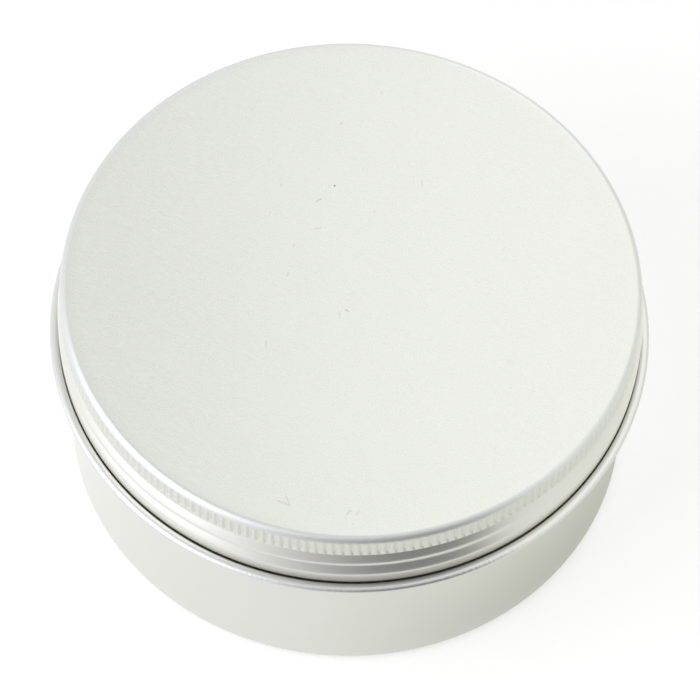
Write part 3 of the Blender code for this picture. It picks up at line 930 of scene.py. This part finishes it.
def circle(radius, height):
    """Evenly spaced points (r cos a, r sin a, z) on a circle."""
    a = 2 * np.pi * np.arange(CIRCLE_POINTS) / CIRCLE_POINTS
    return np.column_stack([radius * np.cos(a), radius * np.sin(a), np.full(CIRCLE_POINTS, height)])


white_table, tree, shader = stage_material("white_table", TABLE_WHITE)
shader.inputs["Emission Color"].default_value = (1, 1, 1, 1)
tree.links.new(maths(tree, "MULTIPLY", seen(tree), GLOW), shader.inputs["Emission Strength"])
staged("table", circle(TABLE_RADIUS, 0.0), [list(range(CIRCLE_POINTS))], white_table)

world = bpy.data.worlds.new("studio")
bpy.context.scene.world = world
world.use_nodes = True
tree = world.node_tree
tree.links.new(blended(tree, AMBIENT, 1.0, seen(tree)), tree.nodes["Background"].inputs["Strength"])
tree.nodes["Background"].inputs["Color"].default_value = (1, 1, 1, 1)
print("room brightness:", AMBIENT, "and 1 where it is seen")

# %% Soft lights
STUDIO_MIDDLE = Vector((0, 0, 0.03))


def soft_light(name, azimuth, elevation, distance, size, brightness, colour=(1, 1, 1)):
    """A square area light that faces the tin from an azimuth (degrees from +X) and an elevation.

    A surface of brightness B and side s sends out pi * B * s^2 watts, and a mirror sees it add B to the room.
    """
    light = bpy.data.lights.new(name, "AREA")
    light.size = size
    light.energy = math.pi * brightness * size ** 2
    light.color = colour
    lamp = bpy.data.objects.new(name, light)
    a, e = math.radians(azimuth), math.radians(elevation)
    away = Vector((math.cos(a) * math.cos(e), math.sin(a) * math.cos(e), math.sin(e)))
    lamp.location = away * distance + STUDIO_MIDDLE
    lamp.rotation_mode = "QUATERNION"
    lamp.rotation_quaternion = away.to_track_quat("Z", "Y")
    lamp.visible_camera = False
    bpy.context.scene.collection.objects.link(lamp)


soft_light("back_softbox", azimuth=50, elevation=62, distance=0.5, size=0.45, brightness=0.165)
soft_light("back_strip", azimuth=74, elevation=35, distance=0.5, size=0.16, brightness=0.25)
soft_light("left_softbox", azimuth=206, elevation=30, distance=0.6, size=0.5, brightness=1.45,
           colour=(0.97, 0.985, 1.0))
print("lamps:", sorted(lamp.name for lamp in bpy.data.lights))

# %% [markdown]
# ### Cards
#
# A photographer shapes the reflections in metal with cards. These are seen by reflections alone. The dark one
# low in front, where the camera is, gives the dark bands on the flanks of thread and bead. Grey and pale ones
# stand round it, and a ring on the table sets how bright the table is in the wall and the rim. Three cards
# get brighter or darker from one end to the other. They were set by comparing one view with the picture, so
# the tin looks different from other sides.

# %% Helpers for cards
CARD_COLUMNS, CARD_ROWS = 25, 13


def card(name, points, faces, colour=(1, 1, 1)):
    """A glowing card that only reflections see; returns its tree, its shader and its Object coordinates."""
    material, tree, shader = stage_material(name, (0, 0, 0))
    shader.inputs["Specular IOR Level"].default_value = 0.0
    shader.inputs["Emission Color"].default_value = (*colour, 1)
    shader.inputs["Emission Strength"].default_value = 1.0
    item = staged(name, points, faces, material)
    item.visible_camera = item.visible_diffuse = item.visible_shadow = item.visible_transmission = False
    print("card:", name)
    return tree, shader, tree.nodes.new("ShaderNodeTexCoord").outputs["Object"]


def curved_card(name, azimuths, elevations, radius, colour):
    """Part of a sphere round the tin, azimuths by elevations: radius * (cos a cos e, sin a cos e, sin e)."""
    turns = np.radians(np.linspace(*azimuths, CARD_COLUMNS))
    a, e = np.meshgrid(turns, np.radians(np.linspace(*elevations, CARD_ROWS)))
    points = radius * np.stack([np.cos(a) * np.cos(e), np.sin(a) * np.cos(e), np.sin(e)], axis=-1)
    numbers = np.arange(CARD_ROWS * CARD_COLUMNS).reshape(CARD_ROWS, CARD_COLUMNS)
    here = numbers[:-1, :-1].reshape(-1)
    faces = np.column_stack([here, here + 1, here + CARD_COLUMNS + 1, here + CARD_COLUMNS]).tolist()
    return card(name, points.reshape(-1, 3) + np.array(STUDIO_MIDDLE), faces, colour)


# %% Cards of one brightness
curved_card("grey_above", azimuths=(-215, -35), elevations=(60, 86), radius=0.34, colour=(0.78, 0.79, 0.82))
curved_card("grey_front", azimuths=(-108, -36), elevations=(34, 66), radius=0.2, colour=(0.76, 0.76, 0.78))
curved_card("pale_back_left", azimuths=(98, 165), elevations=(40, 80), radius=0.35, colour=(0.9, 0.91, 0.89))

# %% Card on the right: brighter upwards, a little darker backwards
tree, shader, point = curved_card("grey_right", azimuths=(-46, 60), elevations=(-6, 60), radius=0.3,
                                  colour=(0.99, 1.0, 0.94))
parts = parts_of(tree, point)
upwards = ramp(tree, parts["Z"], low=50 * MM, high=230 * MM, to_low=0.9, to_high=1.3)
backwards = ramp(tree, parts["Y"], low=-130 * MM, high=20 * MM, to_low=0.0, to_high=0.12)
tree.links.new(maths(tree, "SUBTRACT", upwards, backwards), shader.inputs["Emission Strength"])

# %% Dark card in front: darker to the right
tree, shader, point = curved_card("dark_front", azimuths=(-114, -49), elevations=(-14, 37), radius=0.16,
                                  colour=(1.0, 0.98, 0.98))
darker = ramp(tree, parts_of(tree, point)["X"], low=-75 * MM, high=45 * MM, to_low=0.88, to_high=0.18)
tree.links.new(darker, shader.inputs["Emission Strength"])

# %% Ring on the table: darker and warmer to the right, brighter backwards, with a shadow close by
RING_INSIDE, RING_OUTSIDE, RING_HEIGHT = 40.3 * MM, 140 * MM, 0.2 * MM
ring = np.vstack([circle(RING_INSIDE, RING_HEIGHT), circle(RING_OUTSIDE, RING_HEIGHT)])
here = np.arange(CIRCLE_POINTS)
beside = np.roll(here, -1)
ring_faces = np.column_stack([here, here + CIRCLE_POINTS, beside + CIRCLE_POINTS, beside]).tolist()
tree, shader, point = card("table_shade", ring, ring_faces)
parts = parts_of(tree, point)
sideways = ramp(tree, parts["X"], low=-60 * MM, high=20 * MM, to_low=1.06, to_high=0.91)
backwards = ramp(tree, parts["Y"], low=-40 * MM, high=70 * MM, to_low=0.0, to_high=0.25)
from_middle = vector_maths(tree, "LENGTH", point, result=1)
close_by = ramp(tree, from_middle, low=41 * MM, high=56 * MM, to_low=0.37, to_high=0.0)
shadow = maths(tree, "MULTIPLY", close_by, ramp(tree, parts["X"], low=-10 * MM, high=50 * MM))
brightness = maths(tree, "SUBTRACT", maths(tree, "ADD", sideways, backwards), shadow)
tree.links.new(brightness, shader.inputs["Emission Strength"])
warmth = ramp(tree, parts["X"], low=-20 * MM, high=45 * MM)
tree.links.new(tinted(tree, (1, 1, 0.985), (1, 1, 0.92), warmth), shader.inputs["Emission Color"])
print("table ring, mm:", round(RING_INSIDE / MM, 1), "to", round(RING_OUTSIDE / MM, 1))
